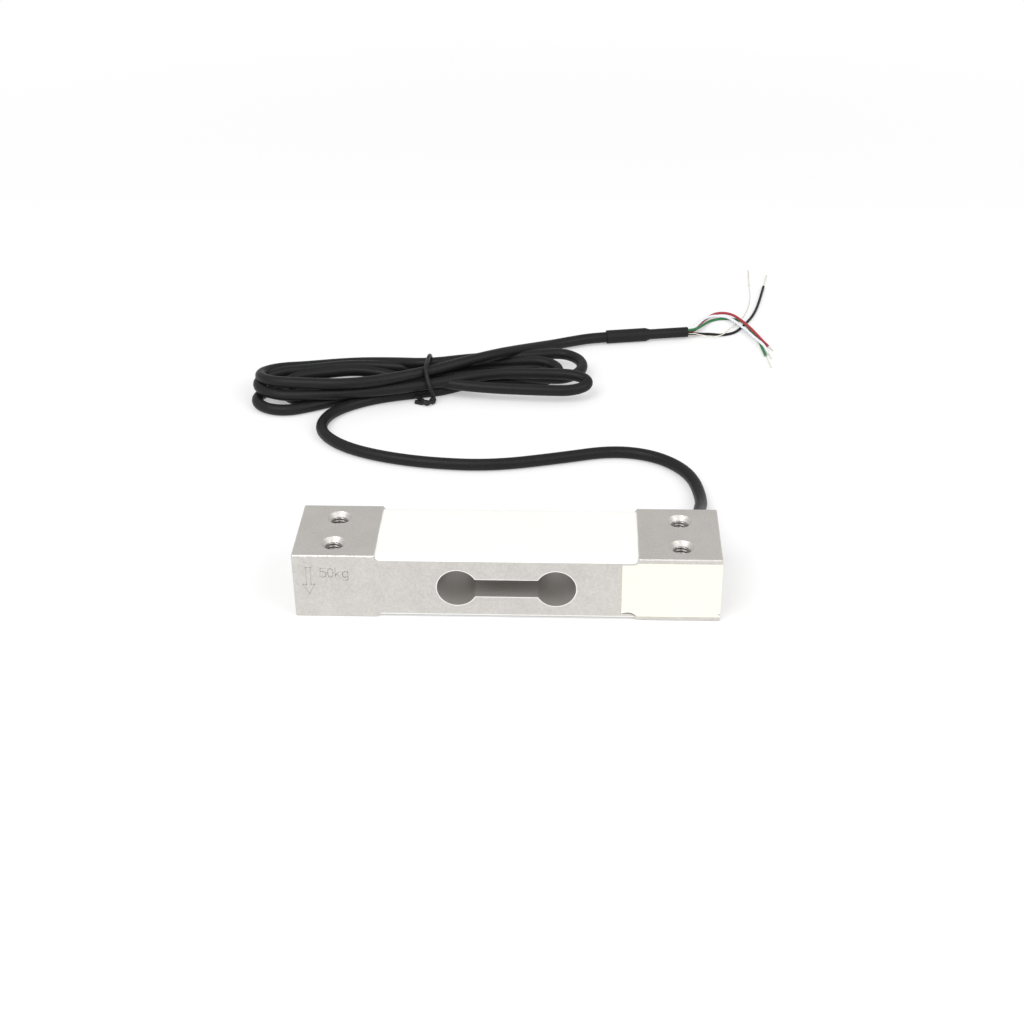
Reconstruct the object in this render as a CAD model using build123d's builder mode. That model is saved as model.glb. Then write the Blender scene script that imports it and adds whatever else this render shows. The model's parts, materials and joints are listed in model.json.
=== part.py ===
from build123d import *
import os
from math import pi, radians, tan

# Single point strain gauge load cell with its shielded four core cable, in millimetres.
# The origin is the middle of the bar's underside. +X runs along the bar to the fixed end,
# where the cable leaves, +Y to the rear face and +Z up.

# Spring element, a bar milled from aluminium
beam_length = 130.0
beam_width = 30.0
beam_height = 22.0
pad_length = 25.0
recess_depth = 1.6
step_radius = 2.0
flexure_pitch = 30.0
flexure_radius = 6.2
slot_height = 6.0
edge_break = 0.3

# Tapped mounting holes, one row of two across each end
screw_pitch = 15.0
screw_end_distance = 12.0
tap_drill_radius = 2.5
countersink_radius = 3.8
countersink_angle = 90

# Wiring pocket in the front face, open at the fixed end. It reaches past the pad, so that the
# wire holes come out in the recesses.
pocket_reach = 5.0
pocket_depth = 3.6
pocket_lip = 1.5
recess_wall = 0.6
wire_hole_radius = 0.9
wire_hole_gap = 0.15

# Silicone sealant in the recesses and the pocket
sealant_edge = 0.2
sealant_crown = 1.3
sealant_margin = 0.15
sealant_corner = 2.0

# Cable and its way into the bar, where the jacket stops short of the pocket's floor
cable_diameter = 4.25
cable_end_distance = 4.6
cable_height = 11.0
jacket_stop = 2.0
cable_run_out = 12.0
seal_thickness = 0.3
core_bore_radius = 1.6
core_diameter = 1.1
core_spacing = 1.12
drain_diameter = 0.45
tip_diameter = 0.5
red_tip_length = 4.0
white_tip_length = 4.5
green_tip_length = 10.8
black_tip_length = 13.0
drain_offset = 1.2

# Strain gauges
carrier_length = 9.0
carrier_width = 6.0
carrier_corner = 0.4
film_thickness = 0.1
foil_thickness = 0.05
grid_loops = 5
strand_width = 0.25
strand_pitch = 0.45
grid_length = 5.0
lead_in = 0.4
tab_length = 1.2
tab_width = 1.5

# Terminal strips in the middle of the recesses, and the wires between them and the board
terminal_length = 9.0
terminal_width = 4.0
terminal_thickness = 0.2
solder_pad_size = 1.1
solder_pad_thickness = 0.05
terminal_pitch = 2.4
jumper_diameter = 0.2
jumper_sweep = 0.6
jumper_bend = 1.0
bridge_wires = 3
bridge_wire_diameter = 0.4
bridge_wire_pitch = 0.55
bridge_lane_pitch = 0.6
bridge_lane_gap = 1.6
wire_bend = 0.5
solder_gap = 0.05

# Compensation board in the pocket
board_start_gap = 2.0
board_end_gap = 10.0
board_height = 12.0
board_thickness = 0.8
board_corner = 0.6
board_pad_inset = 2.0
board_pad_pitch = 0.8
resistor_length = 2.0
resistor_width = 1.25
resistor_thickness = 0.5
resistor_chamfer = 0.1
resistor_spacing = 3.5
core_bend = 1.0
core_landing = 1.5
core_step_start = 0.5
core_rise = 2.0
outer_core_rise = 5.2

# Heat-shrink sleeve over the jacket's end and the cores
sleeve_wall = 0.55
sleeve_over_jacket = 16.0
sleeve_taper = 2.0
sleeve_over_cores = 15.5
sleeve_core_radius = 1.5
jacket_in_sleeve = 15.3
shrink_gap = 0.02
mouth_overhang = 2.0

# Hank of cable, held at its waist by a twist tie
hank_height_left = 10.5
hank_height_right = 9.0
hank_edge_round = 2.5
hank_gap = 0.3
waist_width = 15.0
waist_height = 10.9
waist_corner = 3.5
waist_middle = (-36.0, 139.35)
tie_wire = 1.2
tie_width = 1.6
tie_gap = 0.3
tie_twist_diameter = 2.0
tie_twist_bend = 1.0
stub_length = 14.0

# Share of the shorter run that an arc of a cord's path takes up
arc_share = 0.45

# Route of the cable from its straight run out of the rear face to the hank
LEAD_ROUTE = [
    (61.5, 40, 6), (63.7, 54, 2.15), (61, 72.5, 2.15), (50, 85, 2.15), (34, 89, 2.15),
    (14.5, 83, 2.15), (-9, 77, 2.15), (-32, 78.5, 2.15), (-51, 83.5, 2.15), (-65, 91, 2.15),
    (-73.5, 101.5, 2.15), (-73.2, 112.4, 2.15), (-67.0, 121.4, 2.15),
]

# Route from the hank to the end of the jacket inside the sleeve
TAIL_ROUTE = [
    (8.2, 172.9, 3.76), (12.5, 176.4, 2.95), (20, 180.3, 2.7), (27.6, 183.26, 2.7),
    (47.57, 186.55, 2.7),
]

# Loops of the hank, left and right of the tie: middle and radius of each in plan
LEFT_LOOPS = [(-87, 131, 16), (-87.5, 141.5, 14)]
RIGHT_LOOPS = [(10.5, 143.2, 16), (9, 152.5, 15.5)]

# Routes of the free cores and of the drain wire, from just past the sleeve to their ends
RED_ROUTE = [
    (69.7, 197.1, 0.6), (72.5, 204.7, 0.6), (77.5, 210.0, 1.7), (81.7, 208.9, 2.7),
    (85.3, 206.4, 2.9), (88.0, 201.6, 2.85), (90.5, 196.2, 2.85), (93.6, 188.7, 2.3),
    (95.8, 184.6, 1.1), (97.6, 180.6, 0.75),
]
WHITE_ROUTE = [
    (70.1, 197.6, 3.1), (73.2, 204.5, 3.0), (77.2, 207.6, 1.8), (81.9, 207.5, 1.75),
    (84.9, 204.4, 1.75), (87.8, 198.2, 1.75), (90.6, 191.9, 1.75), (93.2, 185.2, 1.75),
    (95.5, 180.4, 1.75), (97.0, 176.8, 0.9), (97.9, 173.4, 0.75),
]
GREEN_ROUTE = [
    (71.0, 195.9, 2.0), (75.5, 205.0, 0.6), (79.8, 207.5, 0.6), (84.6, 207.5, 0.6),
    (87.9, 203.3, 1.7), (89.8, 198.5, 1.7), (92.0, 191.7, 1.2), (94.2, 186.9, 0.6),
    (95.0, 180.2, 0.6), (95.9, 172.1, 0.6),
]
BLACK_ROUTE = [
    (70.8, 191.9, 0.7), (75.2, 192.2, 0.6), (79.6, 191.0, 0.6), (84.9, 193.1, 0.6),
    (88.6, 199.0, 0.6), (91.0, 203.9, 0.6), (94.2, 211.0, 0.6), (97.6, 223.2, 0.6),
    (101.2, 241.5, 0.6),
]
DRAIN_ROUTE = [
    (70.3, 189.4, 1.5), (76.4, 188.6, 0.9), (80.4, 189.7, 1.6), (83.6, 196.3, 1.4),
    (87.0, 203.8, 0.3), (89.6, 208.8, 0.3), (92.6, 218.1, 0.3), (94.7, 230.5, 0.3),
    (95.0, 243.5, 0.3), (96.2, 260.3, 0.3),
]

# Places that follow from the sizes above
pad_inner = beam_length / 2 - pad_length
recess_top = beam_height - recess_depth
middle_height = beam_height / 2
mid_plane = Plane.XY.offset(middle_height)
screw_x = beam_length / 2 - screw_end_distance
rear_face = beam_width / 2
pocket_length = pad_length + pocket_reach
pocket_left = beam_length / 2 - pocket_length
pocket_floor = pocket_depth - beam_width / 2
cable_x = beam_length / 2 - cable_end_distance
cable_radius = cable_diameter / 2
jacket_end = pocket_floor + jacket_stop
jacket_insert = rear_face - jacket_end
board_front = pocket_floor - board_thickness
board_right = beam_length / 2 - board_end_gap
board_left = pocket_left + board_start_gap
board_length = board_right - board_left
wire_hole_x = pad_inner - step_radius - wire_hole_radius - wire_hole_gap
wire_hole_y = board_front - solder_gap - bridge_wire_diameter / 2
gauge_x = flexure_pitch / 2

os.makedirs("parts", exist_ok=True)


def save(part, name):
    """Label a finished piece and write it to its own file."""
    part.label = name
    export_step(part, f"parts/{name}.step")


def corner_radii(route):
    """Largest arc for each corner of a route, kept within a share of its shorter run."""
    points = [Vector(*point) for point in route]
    radii = []
    for before, corner, after in zip(points, points[1:], points[2:]):
        run_in = corner - before
        run_out = after - corner
        half_turn = radians(run_in.get_angle(run_out)) / 2
        radii.append(arc_share * min(run_in.length, run_out.length) / tan(half_turn))
    return radii


def tube(route, diameter, radii):
    """A round wire or cable along straight runs joined by tangent arcs, and its length."""
    start = Vector(*route[0])
    with BuildPart() as body:
        with BuildLine() as path:
            FilletPolyline(*route, radius=radii)
        with BuildSketch(Plane(origin=start, z_dir=Vector(*route[1]) - start)):
            Circle(diameter / 2)
        sweep(path=path.wires()[0])
    return body.part, path.wires()[0].length


def save_cord(route, diameter, name):
    """Build a cord's tube, print its length and tightest arc, and write it."""
    radii = corner_radii(route)
    part, length = tube(route, diameter, radii)
    share = part.volume / (pi * diameter**2 / 4 * length)
    print(f"{name}: {length:.1f} mm long, tightest arc {min(radii):.1f} mm, volume {share:.4f}")
    save(part, name)


def recess_profiles(grow, mode):
    """Both recesses in a side view, as rounded rectangles grown by a distance."""
    radius = step_radius + grow
    height = 2 * (recess_depth + radius)
    middle = recess_depth + grow - height / 2
    with Locations((0, middle), (0, beam_height - middle)):
        RectangleRounded(2 * (pad_inner + grow), height, radius, mode=mode)


# Room of the wiring pocket, with a thin wall left along the recesses and their steps
with BuildPart() as pocket:
    with BuildSketch(Plane.XZ.offset(beam_width / 2)):
        with Locations((pocket_left, middle_height)):
            Rectangle(
                pocket_length, beam_height - 2 * pocket_lip, align=(Align.MIN, Align.CENTER)
            )
        recess_profiles(recess_wall, Mode.SUBTRACT)
    extrude(amount=-pocket_depth)

# Spring element: side profile with its steps, then the dog-bone opening
with BuildPart() as spring_element:
    with BuildSketch(Plane.XZ):
        with Locations((0, middle_height)):
            Rectangle(beam_length, beam_height)
        recess_profiles(0, Mode.SUBTRACT)
    extrude(amount=beam_width / 2, both=True)
    end_faces = spring_element.faces().filter_by(Axis.X).sort_by(Axis.X)
    end_edges = end_faces[0].edges() + end_faces[-1].edges()
    flat_faces = spring_element.faces().filter_by(Axis.Z).group_by(Axis.Z)
    pad_edges = (flat_faces[0] + flat_faces[-1]).edges().filter_by(Axis.X)
    chamfer(end_edges + pad_edges, edge_break)
    with BuildSketch(Plane.XZ):
        with Locations((-gauge_x, middle_height), (gauge_x, middle_height)):
            Circle(flexure_radius)
        with Locations((0, middle_height)):
            Rectangle(flexure_pitch, slot_height)
    extrude(amount=beam_width, both=True, mode=Mode.SUBTRACT)
    # Tap drills with a countersink at both ends
    with Locations(Plane.XY.offset(beam_height)):
        with GridLocations(2 * screw_x, screw_pitch, 2, 2):
            CounterSinkHole(
                tap_drill_radius, countersink_radius, counter_sink_angle=countersink_angle
            )
    with BuildSketch(Plane.XY):
        with GridLocations(2 * screw_x, screw_pitch, 2, 2):
            Circle(countersink_radius)
    sink_depth = countersink_radius - tap_drill_radius
    extrude(amount=sink_depth, taper=countersink_angle / 2, mode=Mode.SUBTRACT)
    add(pocket.part, mode=Mode.SUBTRACT)
    # Cable bore from the rear face, the narrower bore for the cores and the wire holes
    with BuildSketch(Plane.XZ.offset(-rear_face)):
        with Locations((cable_x, cable_height)):
            Circle(cable_radius + seal_thickness)
    extrude(amount=jacket_insert, mode=Mode.SUBTRACT)
    with BuildSketch(Plane.XZ.offset(-jacket_end)):
        with Locations((cable_x, cable_height)):
            Circle(core_bore_radius)
    extrude(amount=jacket_end - pocket_floor, mode=Mode.SUBTRACT)
    with BuildSketch(Plane.XY):
        with Locations((wire_hole_x, wire_hole_y)):
            Circle(wire_hole_radius)
    extrude(amount=beam_height, mode=Mode.SUBTRACT)
save(spring_element.part, "spring_element")

# Strain gauges on the top face: a carrier film and a folded foil grid over each thin section
top_pieces = []
for end_name, side in (("live", -1), ("fixed", 1)):
    middle_x = side * gauge_x
    with BuildPart() as carrier:
        with BuildSketch(Plane.XY.offset(recess_top)):
            with Locations((middle_x, 0)):
                RectangleRounded(carrier_length, carrier_width, carrier_corner)
        extrude(amount=film_thickness)
    with BuildPart() as grid:
        with BuildSketch(Plane.XY.offset(recess_top + film_thickness)):
            strands = 2 * grid_loops
            outer_strand = strand_pitch * (strands - 1) / 2
            with Locations((middle_x, 0)):
                with GridLocations(1, strand_pitch, 1, strands):
                    Rectangle(grid_length, strand_width)
            for turn in range(strands - 1):
                loop_y = strand_pitch * (turn + 0.5) - outer_strand
                loop_side = side if turn % 2 == 0 else -side
                loop_x = middle_x + loop_side * (grid_length - strand_width) / 2
                with Locations((loop_x, loop_y)):
                    Rectangle(strand_width, strand_pitch + strand_width)
            # Both solder tabs face the terminal strip
            lead_x = middle_x - side * (grid_length + lead_in) / 2
            tab_x = middle_x - side * (grid_length / 2 + lead_in + tab_length / 2)
            tab_y = outer_strand + strand_width / 2 - tab_width / 2
            with Locations((lead_x, -outer_strand), (lead_x, outer_strand)):
                Rectangle(lead_in, strand_width)
            with Locations((tab_x, -tab_y), (tab_x, tab_y)):
                Rectangle(tab_length, tab_width)
        extrude(amount=foil_thickness)
    top_pieces.append((f"gauge_carrier_NN_{end_name}", carrier.part))
    top_pieces.append((f"gauge_grid_NN_{end_name}", grid.part))

# Terminal strip with its solder pads
with BuildPart() as terminal_strip:
    with BuildSketch(Plane.XY.offset(recess_top)):
        RectangleRounded(terminal_length, terminal_width, carrier_corner)
    extrude(amount=terminal_thickness)
    with BuildSketch(Plane.XY.offset(recess_top + terminal_thickness)):
        with GridLocations(terminal_pitch, terminal_width / 2, 3, 2):
            Rectangle(solder_pad_size, solder_pad_size)
    extrude(amount=solder_pad_thickness)
top_pieces.append(("terminal_strip_NN", terminal_strip.part))

# Fine jumpers from the solder tabs of both gauges to the terminal strip
jumper_z = recess_top + film_thickness + foil_thickness + solder_gap + jumper_diameter / 2
tab_middle_x = gauge_x - grid_length / 2 - lead_in - tab_length / 2
jumper_span = tab_middle_x - terminal_length / 2
jumper_tubes = []
for side in (-1, 1):
    for row in (-1, 1):
        near_y = row * (tab_y - jumper_sweep)
        jumper_route = [
            (side * tab_middle_x, row * tab_y, jumper_z),
            (side * (tab_middle_x - jumper_span / 3), row * tab_y, jumper_z),
            (side * (terminal_length / 2 + jumper_span / 3), near_y, jumper_z),
            (side * terminal_length / 2, near_y, jumper_z),
        ]
        jumper_tubes.append(tube(jumper_route, jumper_diameter, jumper_bend)[0])
with BuildPart() as jumpers:
    add(jumper_tubes)
top_pieces.append(("gauge_jumpers_NN", jumpers.part))

# Bridge wires from the terminal strip through the wire hole to the board
bridge_z = recess_top + solder_gap + bridge_wire_diameter / 2
bridge_tubes = []
for lane in range(bridge_wires):
    across = (bridge_wires - 1) / 2 - lane
    start_x = across * terminal_pitch
    drop_x = wire_hole_x + across * bridge_wire_pitch
    lane_y = -(carrier_width / 2 + bridge_lane_gap + lane * bridge_lane_pitch)
    pad_z = middle_height + board_height / 2 - (lane + 1) * board_pad_pitch
    bridge_route = [
        (start_x, -terminal_width / 2, bridge_z), (start_x, lane_y, bridge_z),
        (drop_x, lane_y, bridge_z), (drop_x, wire_hole_y, bridge_z),
        (drop_x, wire_hole_y, pad_z), (board_left + board_pad_inset, wire_hole_y, pad_z),
    ]
    bridge_tubes.append(tube(bridge_route, bridge_wire_diameter, wire_bend)[0])
with BuildPart() as bridge:
    add(bridge_tubes)
top_pieces.append(("bridge_wires_NN", bridge.part))

# The underside carries the same pieces, mirrored
bottom_pieces = []
for name, piece in top_pieces:
    with BuildPart() as mirrored:
        mirror(piece, about=mid_plane)
    bottom_pieces.append(mirrored.part)
    save(piece, name.replace("NN", "top"))
    save(mirrored.part, name.replace("NN", "bottom"))

# Compensation board on the pocket's floor
board_middle_x = (board_left + board_right) / 2
with BuildPart() as compensation_board:
    with BuildSketch(Plane.XZ.offset(-pocket_floor)):
        with Locations((board_middle_x, middle_height)):
            RectangleRounded(board_length, board_height, board_corner)
    extrude(amount=board_thickness)
save(compensation_board.part, "compensation_board")

# Trim resistors on the board
resistors = []
for column, name in enumerate(("zero_trim_resistor", "span_trim_resistor", "temperature_resistor")):
    resistor_x = board_middle_x + (column - 1) * resistor_spacing
    with BuildPart() as resistor:
        with BuildSketch(Plane.XZ.offset(-board_front)):
            with Locations((resistor_x, middle_height)):
                Rectangle(resistor_width, resistor_length)
        extrude(amount=resistor_thickness)
        chamfer(resistor.faces().sort_by(Axis.Y)[0].edges(), resistor_chamfer)
    resistors.append(resistor.part)
    save(resistor.part, name)

# Inner ends of the four cores, from the jacket's end to the board
core_level = board_front - solder_gap - core_diameter / 2
core_end_x = board_right - core_landing
inner_cores = []
for name, across, up in (("red", -1, 1), ("black", -1, -1), ("green", 1, 1), ("white", 1, -1)):
    core_x = cable_x + across * core_spacing / 2
    core_z = cable_height + up * core_spacing / 2
    if across < 0:
        landing_z = middle_height + up * core_rise
        inner_route = [
            (core_x, jacket_end, core_z), (core_x, core_level, core_z),
            (board_right + core_step_start + 2 * core_bend, core_level, core_z),
            (board_right + core_step_start, core_level, landing_z),
            (core_end_x, core_level, landing_z),
        ]
    else:
        landing_z = middle_height + up * outer_core_rise
        inner_route = [
            (core_x, jacket_end, core_z), (core_x, core_level, core_z),
            (core_x, core_level, landing_z), (core_end_x, core_level, landing_z),
        ]
    core_part = tube(inner_route, core_diameter, core_bend)[0]
    inner_cores.append(core_part)
    save(core_part, f"inner_core_{name}")

# Sealant in the recess of the top face, crowned across the bar, with its plug in the wire hole
half_width = beam_width / 2 - sealant_margin
with BuildPart() as top_sealant:
    with BuildSketch(Plane.YZ.offset(-pad_inner)):
        with BuildLine():
            Line((half_width, recess_top + sealant_edge), (half_width, recess_top))
            Line((half_width, recess_top), (-half_width, recess_top))
            Line((-half_width, recess_top), (-half_width, recess_top + sealant_edge))
            ThreePointArc(
                (-half_width, recess_top + sealant_edge), (0, recess_top + sealant_crown),
                (half_width, recess_top + sealant_edge),
            )
        make_face()
    extrude(amount=2 * pad_inner)
    with BuildSketch(Plane.XY.offset(recess_top)):
        RectangleRounded(2 * pad_inner, 2 * half_width, sealant_corner)
    extrude(amount=recess_depth, mode=Mode.INTERSECT)
    with BuildSketch(Plane.XY.offset(recess_top - recess_wall)):
        with Locations((wire_hole_x, wire_hole_y)):
            Circle(wire_hole_radius)
    extrude(amount=recess_wall)
    add([spring_element.part, pocket.part], mode=Mode.SUBTRACT)
    add([piece for name, piece in top_pieces], mode=Mode.SUBTRACT)
save(top_sealant.part, "top_sealant")

with BuildPart() as bottom_sealant:
    mirror(top_sealant.part, about=mid_plane)
save(bottom_sealant.part, "bottom_sealant")

# Sealant that fills the wiring pocket, flush with the front and end faces
bridge_bottom = bottom_pieces[-1]
with BuildPart() as side_sealant:
    add(pocket.part)
    add([compensation_board.part, bridge.part, bridge_bottom], mode=Mode.SUBTRACT)
    add(resistors + inner_cores, mode=Mode.SUBTRACT)
save(side_sealant.part, "side_sealant")

# Cable's end in its bore, and the adhesive ring that seals it
cable_plane = Plane.XZ.offset(-rear_face)
with BuildPart() as cable_entry:
    with BuildSketch(cable_plane):
        with Locations((cable_x, cable_height)):
            Circle(cable_radius)
    extrude(amount=jacket_insert)
save(cable_entry.part, "cable_entry")

with BuildPart() as cable_seal:
    with BuildSketch(cable_plane):
        with Locations((cable_x, cable_height)):
            Circle(cable_radius + seal_thickness)
            Circle(cable_radius, mode=Mode.SUBTRACT)
    extrude(amount=jacket_insert)
save(cable_seal.part, "cable_seal")

# The free cable on both sides of the hank
entry_route = [
    (cable_x, rear_face, cable_height), (cable_x, rear_face + cable_run_out, cable_height)
]
save_cord(entry_route + LEAD_ROUTE, cable_diameter, "cable_lead")
save_cord(TAIL_ROUTE, cable_diameter, "cable_tail")


def stub(route_end, route_next, radius, length):
    """A round bar that starts flat at the end of a route and runs on, or back if negative."""
    start = Vector(*route_end)
    with BuildPart() as body:
        with BuildSketch(Plane(origin=start, z_dir=start - Vector(*route_next))):
            Circle(radius)
        extrude(amount=length)
    return body.part


# Hank of cable as one closed solid: two bundles of loops and the waist between them
waist_x, waist_y = waist_middle
waist_top = tie_wire + waist_height
route_ends = [(LEAD_ROUTE[-1], LEAD_ROUTE[-2]), (TAIL_ROUTE[0], TAIL_ROUTE[1])]
grooves = [stub(*ends, cable_radius + hank_gap, -stub_length) for ends in route_ends]
stubs = [stub(*ends, cable_radius, stub_length) for ends in route_ends]
tie_half = tie_width / 2 + tie_gap
with BuildPart() as cable_hank:
    for side, loops, height in (
        (-1, LEFT_LOOPS, hank_height_left), (1, RIGHT_LOOPS, hank_height_right)
    ):
        near_x = waist_x + side * tie_half
        with BuildSketch(Plane.XY):
            for loop_x, loop_y, loop_radius in loops:
                with Locations((loop_x, loop_y)):
                    Circle(loop_radius)
            with Locations((near_x + side * waist_corner / 2, waist_y)):
                Rectangle(waist_corner, waist_width)
            make_hull()
        extrude(amount=height)
    top_edges = cable_hank.faces().filter_by(Axis.Z).group_by(Axis.Z)[1:]
    round_edges = [edge for group in top_edges for face in group for edge in face.edges()]
    fillet(round_edges, hank_edge_round)
    with BuildSketch(Plane.YZ.offset(waist_x - tie_half - waist_corner)):
        with Locations((waist_y, (tie_wire + waist_top) / 2)):
            RectangleRounded(waist_width, waist_height, waist_corner)
    extrude(amount=2 * (tie_half + waist_corner))
    add(grooves, mode=Mode.SUBTRACT)
    add(stubs)
save(cable_hank.part, "cable_hank")

# Twist tie: a flat wire round the waist with its twisted end on the floor
near_side = waist_y - waist_width / 2 - tie_twist_diameter / 2
twist_z = tie_twist_diameter / 2
twist_route = [
    (waist_x, near_side, waist_corner + tie_wire),
    (waist_x, near_side - tie_wire, twist_z + tie_wire),
    (waist_x - tie_wire, near_side - 2 * tie_wire, twist_z),
    (waist_x - 4 * tie_wire, near_side - 3 * tie_wire, twist_z),
]
twisted_end = tube(twist_route, tie_twist_diameter, tie_twist_bend)[0]
with BuildPart() as twist_tie:
    with BuildSketch(Plane.YZ.offset(waist_x - tie_width / 2)):
        with Locations((waist_y, (tie_wire + waist_top) / 2)):
            RectangleRounded(
                waist_width + 2 * tie_wire, waist_height + 2 * tie_wire, waist_corner + tie_wire
            )
            RectangleRounded(waist_width, waist_height, waist_corner, mode=Mode.SUBTRACT)
    extrude(amount=tie_width)
    add(twisted_end)
save(twist_tie.part, "twist_tie")

# Heat-shrink sleeve, one wall that narrows from the jacket down to the cores
jacket_tip = Vector(*TAIL_ROUTE[-1])
sleeve_axis = (jacket_tip - Vector(*TAIL_ROUTE[-2])).normalized()
sleeve_start = jacket_tip - sleeve_axis * jacket_in_sleeve
sleeve_side = sleeve_axis.cross(Vector(0, 0, 1))
sleeve_length = sleeve_over_jacket + sleeve_taper + sleeve_over_cores
sleeve_plane = Plane(origin=sleeve_start, x_dir=sleeve_axis, z_dir=sleeve_side)
jacket_bore = cable_radius + shrink_gap
with BuildPart() as heat_shrink_sleeve:
    with BuildSketch(sleeve_plane):
        with BuildLine():
            Polyline(
                (0, jacket_bore), (sleeve_over_jacket, jacket_bore),
                (sleeve_over_jacket + sleeve_taper, sleeve_core_radius),
                (sleeve_length, sleeve_core_radius),
                (sleeve_length, sleeve_core_radius + sleeve_wall),
                (sleeve_over_jacket + sleeve_taper, sleeve_core_radius + sleeve_wall),
                (sleeve_over_jacket, jacket_bore + sleeve_wall),
                (0, jacket_bore + sleeve_wall), close=True,
            )
        make_face()
    revolve(axis=Axis(sleeve_start, sleeve_axis))
save(heat_shrink_sleeve.part, "heat_shrink_sleeve")

# Free cores, their stripped tips and the drain wire
sleeve_mouth = sleeve_start + sleeve_axis * (sleeve_length + mouth_overhang)
across_axis = Vector(-sleeve_axis.Y, sleeve_axis.X, 0)
half_pitch = core_spacing / 2


def from_sleeve(across, up, route):
    """Full route of a core: straight from the jacket's end to the mouth, then free."""
    offset = across_axis * across + Vector(0, 0, up)
    ends = [tuple(jacket_tip + offset), tuple(sleeve_mouth + offset)]
    return ends + route


CORES = [
    ("red", half_pitch, -half_pitch, RED_ROUTE, red_tip_length),
    ("white", half_pitch, half_pitch, WHITE_ROUTE, white_tip_length),
    ("green", -half_pitch, half_pitch, GREEN_ROUTE, green_tip_length),
    ("black", -half_pitch, -half_pitch, BLACK_ROUTE, black_tip_length),
]
for colour, across, up, route, tip_length in CORES:
    save_cord(from_sleeve(across, up, route), core_diameter, f"core_{colour}")
    tip_start = Vector(*route[-1])
    with BuildPart() as core_tip:
        with BuildSketch(Plane(origin=tip_start, z_dir=tip_start - Vector(*route[-2]))):
            Circle(tip_diameter / 2)
        extrude(amount=tip_length)
    save(core_tip.part, f"core_tip_{colour}")
save_cord(from_sleeve(-drain_offset, 0, DRAIN_ROUTE), drain_diameter, "drain_wire")
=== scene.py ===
"""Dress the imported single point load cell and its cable: finishes, cords, threads and marks."""
import json
import logging
import math
from dataclasses import dataclass, field
from enum import Enum

import bpy
from mathutils import Matrix, Vector

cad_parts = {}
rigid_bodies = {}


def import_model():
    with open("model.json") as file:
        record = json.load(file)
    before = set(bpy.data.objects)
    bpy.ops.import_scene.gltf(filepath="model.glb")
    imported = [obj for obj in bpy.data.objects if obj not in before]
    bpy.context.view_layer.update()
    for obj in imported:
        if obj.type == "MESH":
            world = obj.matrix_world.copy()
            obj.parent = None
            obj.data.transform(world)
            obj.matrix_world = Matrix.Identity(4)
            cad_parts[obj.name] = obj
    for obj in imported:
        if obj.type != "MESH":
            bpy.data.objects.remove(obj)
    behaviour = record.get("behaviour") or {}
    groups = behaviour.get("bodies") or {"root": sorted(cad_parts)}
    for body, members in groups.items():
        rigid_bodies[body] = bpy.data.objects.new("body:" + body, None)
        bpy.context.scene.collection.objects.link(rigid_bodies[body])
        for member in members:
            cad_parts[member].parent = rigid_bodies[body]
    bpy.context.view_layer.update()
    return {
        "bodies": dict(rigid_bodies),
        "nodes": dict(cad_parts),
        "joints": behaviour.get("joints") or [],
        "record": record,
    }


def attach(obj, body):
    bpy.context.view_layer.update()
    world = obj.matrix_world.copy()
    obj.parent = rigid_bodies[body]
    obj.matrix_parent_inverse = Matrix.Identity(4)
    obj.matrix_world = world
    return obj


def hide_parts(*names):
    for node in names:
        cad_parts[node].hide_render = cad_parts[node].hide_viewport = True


LOG = logging.getLogger("load_cell")
MM = 0.001
SHARP_ANGLE = math.radians(35)
UPWARD = Vector((0.0, 0.0, 1.0))

Point = tuple[float, float, float]
Colour = tuple[float, float, float]


class Shading(Enum):
    """How the faces of a finished mesh meet in the light."""

    SMOOTH = "smooth"
    BY_ANGLE = "by angle"


class Value:
    """A number that changes over a surface, kept as a socket of the node that gives it."""

    def __init__(self, sheet: "NodeSheet", socket: bpy.types.NodeSocket) -> None:
        """Keep the sheet that the node is on, and the socket itself."""
        self.sheet = sheet
        self.socket = socket

    def maths(self, operation: str, first: object, second: object, clamp: bool = False) -> "Value":
        """Add a Math node.

        Args:
            operation: The node's operation, such as ADD.
            first: The first number or value.
            second: The second number or value.
            clamp: Whether the result is kept from 0 to 1.

        Returns:
            The node's result as a value.
        """
        settings = {"operation": operation, "use_clamp": clamp}
        node = self.sheet.add("ShaderNodeMath", settings, {0: first, 1: second})
        return Value(self.sheet, node.outputs[0])

    def __add__(self, other: object) -> "Value":
        """Add a number or a value."""
        return self.maths("ADD", self, other)

    __radd__ = __add__

    def __sub__(self, other: object) -> "Value":
        """Take away a number or a value."""
        return self.maths("SUBTRACT", self, other)

    def __rsub__(self, other: object) -> "Value":
        """Take this value away from a number."""
        return self.maths("SUBTRACT", other, self)

    def __mul__(self, other: object) -> "Value":
        """Multiply by a number or a value."""
        return self.maths("MULTIPLY", self, other)

    __rmul__ = __mul__

    def clamped(self) -> "Value":
        """Keep the value from 0 to 1."""
        return self.maths("ADD", self, 0.0, clamp=True)

    def absolute(self) -> "Value":
        """Drop the value's sign."""
        return self.maths("ABSOLUTE", self, 0.0)

    def root(self) -> "Value":
        """Take the square root."""
        return self.maths("SQRT", self, 0.0)

    def larger(self, other: "Value") -> "Value":
        """Take the larger of two values."""
        return self.maths("MAXIMUM", self, other)

    def smaller(self, other: "Value") -> "Value":
        """Take the smaller of two values."""
        return self.maths("MINIMUM", self, other)

    def step(self, low: float, high: float) -> "Value":
        """Rise from 0 to 1 as this value goes from low to high.

        Args:
            low: Where the result leaves 0.
            high: Where the result reaches 1.

        Returns:
            The new value.
        """
        return ((self - low) * (1.0 / (high - low))).clamped()


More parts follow.
